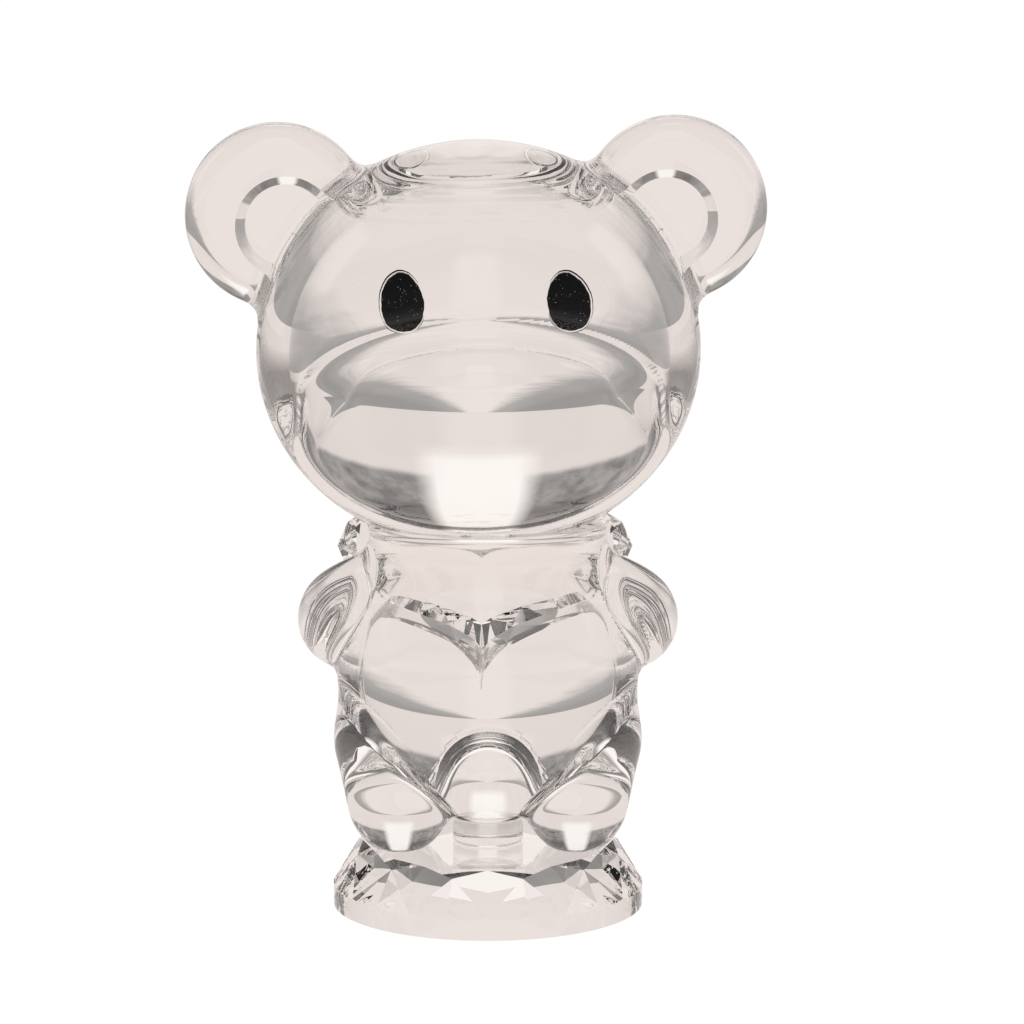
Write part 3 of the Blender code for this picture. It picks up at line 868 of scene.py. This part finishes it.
def build_ears(stamps):
    """Two dished ears, bonded to the head."""
    wide = head_solid("head_wide", FILM, BOND)
    slim = head_solid("head_slim", -FILM, BOND)
    for name, side in (("right_ear", -1), ("left_ear", 1)):

        def own(points, side=side):
            return ear_field(points, side)

        field = filleted(own, head_field, EAR_FILLET)
        middle = HEAD_PLACE @ Vector((side * EAR_CENTRE[0], EAR_CENTRE[1], EAR_CENTRE[2]))
        whole = star_mesh(name, middle, field, *EAR_MESH)
        marker = star_mesh(name + "_stamp", middle, field, *EAR_MESH, BOND)
        stamps["head"].append(carved(marker, ("DIFFERENCE", slim)))
        ear = carved(whole, ("DIFFERENCE", dish_mesh(name + "_dish", side)), ("DIFFERENCE", wide))
        shade_ear(ear, field, side)
        piece(name + "_glass", ear, name)


def build_eyes():
    """Two enamel eyes. It returns the tools that sink their sockets in the head."""
    eye_floor = head_solid("eye_floor", -EYE_DEPTH, GLASS)
    eye_skin = head_solid("eye_skin", -ENAMEL_SINK, GLASS)
    socket_floor = head_solid("socket_floor", -SOCKET_FLOOR, GLASS)
    sockets = []
    for name, ((x, z), tilt) in EYES.items():
        place = Matrix.Translation((x, 0.0, z)) @ Matrix.Rotation(-tilt, 4, "Y")
        shape = oval_mesh(name, place, 0.0, ENAMEL_ROUGH)
        eye = carved(shape, ("INTERSECT", eye_skin), ("DIFFERENCE", eye_floor))
        eye.shade_smooth()
        eye.set_sharp_from_angle(angle=math.radians(40))
        piece(name + "_enamel", eye, name, (ENAMEL,))
        socket = oval_mesh(name + "_socket", place, SOCKET_GAP, SOCKET_ROUGH)
        sockets.append(carved(socket, ("DIFFERENCE", socket_floor)))
    return sockets


def build_head(stamps):
    """The head, cut flat at the neck and sunk for the eyes."""
    neck = BODY_TOP + FILM
    under = box_mesh("under_neck", (-FAR, -FAR, neck - FAR), (FAR, FAR, neck))
    tools = [under, *stamps["head"], *build_eyes()]
    head = carved(head_solid("head", 0.0, GLASS), *[("DIFFERENCE", tool) for tool in tools])
    shade(head, [head_field, grown(head_field, -SOCKET_FLOOR)])
    piece("head_glass", head, "head")
    slab = box_mesh("print_slab", (-FAR, -FAR, BODY_TOP - FILM), (FAR, FAR, BODY_TOP + STAMP))
    stamps["torso"].append(carved(head_solid("head_print", 0.0, BOND), ("INTERSECT", slab)))


def build_torso(stamps):
    """The body, with the prints of everything bonded to it."""
    on_body = BODY_BOTTOM - STAMP, BODY_BOTTOM + FILM
    spacer_print = puck_mesh("spacer_stamp", SPACER_RADIUS - SPACER_EDGE, *on_body, STAMP_EDGE, BOND)
    tools = [seat_box("seat_bond", -FILM, BOND), *stamps["torso"], spacer_print]
    torso = carved(body_mesh("torso"), *[("DIFFERENCE", tool) for tool in tools])
    seat = HEART_PLACE @ Vector((0, -HEART_THICKNESS / 2, 0))
    seat_normal = HEART_PLACE.to_3x3() @ Vector((0, 1, 0))

    def underside(points):
        return BODY_BOTTOM - points[:, 2]

    top = flat_field((0, 0, BODY_TOP), (0, 0, 1))
    shade(torso, [body_field, top, underside, flat_field(seat, seat_normal)])
    piece("torso_glass", torso, "torso")


def build_disc(stamps):
    """The faceted disc, its facets left sharp."""
    disc = carved(disc_mesh("disc"), *[("DIFFERENCE", s) for s in stamps["disc"]])
    piece("disc_glass", disc, "base_disc")


def build():
    """Every piece. A stamp is a tool that marks the bonded faces of the piece it is listed for."""
    stamps = {"torso": [], "disc": [], "heart": [], "head": []}
    build_legs(stamps)
    build_arms(stamps)
    build_tail(stamps)
    build_heart(stamps)
    build_spacer(stamps)
    build_ears(stamps)
    build_head(stamps)
    build_torso(stamps)
    build_disc(stamps)


def shade_ear(mesh, field, side):
    """Smooth shading for an ear: its outer skin, and the floor and the cone of its dish."""
    middle = HEAD_PLACE @ Vector(
        (side * (EAR_CENTRE[0] + DISH_SHIFT[0]), EAR_CENTRE[1], EAR_CENTRE[2] + DISH_SHIFT[1])
    )
    slope = (DISH_RADIUS - DISH_FLOOR_RADIUS) / DISH_DEPTH
    turn = np.array(HEAD_PLACE.to_3x3())

    def floor(points):
        local = (points - np.array(middle)) @ turn
        return -local[:, 1] - (EAR_HALF_THICKNESS - DISH_DEPTH)

    def wall(points):
        local = (points - np.array(middle)) @ turn
        rise = -local[:, 1] - (EAR_HALF_THICKNESS - DISH_DEPTH)
        return -(np.hypot(local[:, 0], local[:, 2]) - DISH_FLOOR_RADIUS - slope * rise)

    shade(mesh, [field, floor, wall])


build()

# ---------------------------------------------------------------- floor, light and camera

CAMERA_AIM = (0.0035, 0.0, 0.05785)
CAMERA_DISTANCE = 0.85
CAMERA_RISE = 10.9
CAMERA_LENS = 207.2

# Colours of the light that reaches the glass, from the soft boxes (GLOW) to the ceiling (DARK).
# SEEN is the plain white that the camera sees instead.
SKY = (0.80, 0.725, 0.70)
PAPER = (0.84, 0.765, 0.735)
GLOW = (1.0, 0.96, 0.93)
DIM = (0.34, 0.33, 0.32)
SHADE = (0.42, 0.40, 0.39)
GLOOM = (0.09, 0.088, 0.086)
DARK = (0.03, 0.03, 0.032)
SEEN = 1.02
FLOOR_GAP = 0.0001


def make_floor():
    size = 4.0
    mesh = bpy.data.meshes.new("floor")
    corners = [(-size, -size, 0), (size, -size, 0), (size, size, 0), (-size, size, 0)]
    mesh.from_pydata(corners, [], [(0, 1, 2, 3)])
    made = bpy.data.objects.new("floor", mesh)
    made.location.z = DISC_LOW.z - FLOOR_GAP
    bpy.context.scene.collection.objects.link(made)
    paper = bpy.data.materials.new("pale_paper")
    paper.use_nodes = True
    n = Nodes(paper.node_tree)
    paper.node_tree.nodes.clear()
    out = n.new("OutputMaterial")
    path = n.new("LightPath")
    seen = n.new("Emission")
    seen.inputs["Color"].default_value = (1.0, 1.0, 1.0, 1.0)
    seen.inputs["Strength"].default_value = SEEN
    lit = n.new("Emission")
    # The paper is a cross of two long sheets: past their edges, the light falls off, painted into the
    # floor's glow as shade (SHADE, then DIM).
    spot = n.new("SeparateXYZ")
    n.link(n.coords(), spot.inputs[0])
    across, along = (n.maths("ABSOLUTE", side) for side in spot.outputs[:2])
    off = n.maths("MINIMUM", across, along)
    # Noise makes the edge of this painted shade uneven.
    uneven_falloff = n.maths("MULTIPLY_ADD", n.noise(12.0, 3.0), 0.12, off)
    n.link(n.ramp(uneven_falloff, [(0.16, PAPER), (0.26, SHADE), (0.5, DIM)]), lit.inputs["Color"])
    lit.inputs["Strength"].default_value = 1.0
    mix = n.new("MixShader")
    n.link(path.outputs["Is Camera Ray"], mix.inputs[0])
    n.link(lit.outputs[0], mix.inputs[1])
    n.link(seen.outputs[0], mix.inputs[2])
    n.link(mix.outputs[0], out.inputs["Surface"])
    mesh.materials.append(paper)


def make_world():
    world = bpy.data.worlds.new("studio")
    bpy.context.scene.world = world
    world.use_nodes = True
    world.node_tree.nodes.clear()
    n = Nodes(world.node_tree)
    out = n.new("OutputWorld")
    split = n.new("SeparateXYZ")
    n.link(n.new("TexCoord").outputs["Generated"], split.inputs[0])
    x, y, z = split.outputs
    height = n.maths("MULTIPLY_ADD", z, 0.5, 0.5)

    def level(rise):
        return 0.5 + 0.5 * math.sin(math.radians(rise))

    def blend(factor, first, second):
        mix = n.new("Mix", data_type="RGBA")
        n.link(factor, mix.inputs["Factor"])
        for socket, value in (("A", first), ("B", second)):
            if isinstance(value, tuple):
                mix.inputs[socket].default_value = (*value, 1.0)
            else:
                n.link(value, mix.inputs[socket])
        return mix.outputs["Result"]

    # The room: pale low down, a dim mottled ceiling above it, paler again overhead.
    sky = n.ramp(
        height,
        [
            (0.0, SKY),
            (level(13), SKY),
            (level(15), DIM),
            (level(27), DIM),
            (level(33), GLOOM),
            (level(70), DARK),
            (level(78), DARK),
            (level(82), SKY),
        ],
    )
    way = n.new("TexCoord").outputs["Generated"]
    blotch = n.ramp(n.noise(9.0, 3.0, 0.6, way), [(0.38, (0.0, 0.0, 0.0)), (0.62, (1.0, 1.0, 1.0))])
    dim = n.ramp(height, [(level(12), (0.0, 0.0, 0.0)), (level(18), (0.6, 0.6, 0.6))])
    sky = blend(n.maths("MULTIPLY", blotch, dim), sky, DARK)
    # The half of the room in front of the figurine is dimmer, from just above the horizon.
    facing = n.maths("MULTIPLY_ADD", y, 0.5, 0.5)
    front = n.ramp(facing, [(0.30, (0.75, 0.75, 0.75)), (0.42, (0.0, 0.0, 0.0))])
    risen = n.ramp(height, [(level(4), (0.0, 0.0, 0.0)), (level(8), (1.0, 1.0, 1.0))])
    sky = blend(n.maths("MULTIPLY", front, risen), sky, GLOOM)
    # A tall soft box in front, behind and on each side.
    across, along = n.maths("ABSOLUTE", x), n.maths("ABSOLUTE", y)
    near = n.maths("DIVIDE", n.maths("MINIMUM", across, along), n.maths("MAXIMUM", across, along))
    box = n.ramp(near, [(0.15, (1.0, 1.0, 1.0)), (0.24, (0.0, 0.0, 0.0))])
    tall = n.ramp(
        height,
        [
            (level(4), (0.0, 0.0, 0.0)),
            (level(8), (1.0, 1.0, 1.0)),
            (level(46), (1.0, 1.0, 1.0)),
            (level(50), (0.0, 0.0, 0.0)),
        ],
    )
    sky = blend(n.maths("MULTIPLY", box, tall), sky, GLOW)
    # A dark edge flag each side.
    flag = n.ramp(across, [(0.93, (0.0, 0.0, 0.0)), (0.97, (0.7, 0.7, 0.7))])
    sky = blend(flag, sky, DARK)
    path = n.new("LightPath")
    seen = n.new("Mix", data_type="RGBA")
    n.link(path.outputs["Is Camera Ray"], seen.inputs["Factor"])
    n.link(sky, seen.inputs["A"])
    seen.inputs["B"].default_value = (SEEN, SEEN, SEEN, 1.0)
    glow = n.new("Background")
    n.link(seen.outputs["Result"], glow.inputs["Color"])
    n.link(glow.outputs[0], out.inputs["Surface"])


def make_camera():
    lens = bpy.data.cameras.new("camera")
    lens.lens = CAMERA_LENS
    lens.sensor_width = 36.0
    lens.dof.use_dof = False
    lens.clip_start = 0.01
    lens.clip_end = 20.0
    made = bpy.data.objects.new("camera", lens)
    bpy.context.scene.collection.objects.link(made)
    rise = math.radians(CAMERA_RISE)
    back = Vector((0.0, -math.cos(rise), math.sin(rise)))
    made.location = Vector(CAMERA_AIM) + back * CAMERA_DISTANCE
    made.rotation_euler = (-back).to_track_quat("-Z", "Y").to_euler()
    bpy.context.scene.camera = made


make_floor()
make_world()
make_camera()
scene = bpy.context.scene
scene.view_settings.view_transform = "Standard"
scene.cycles.max_bounces = 32
scene.cycles.transmission_bounces = 32
scene.cycles.glossy_bounces = 16
scene.cycles.transparent_max_bounces = 32
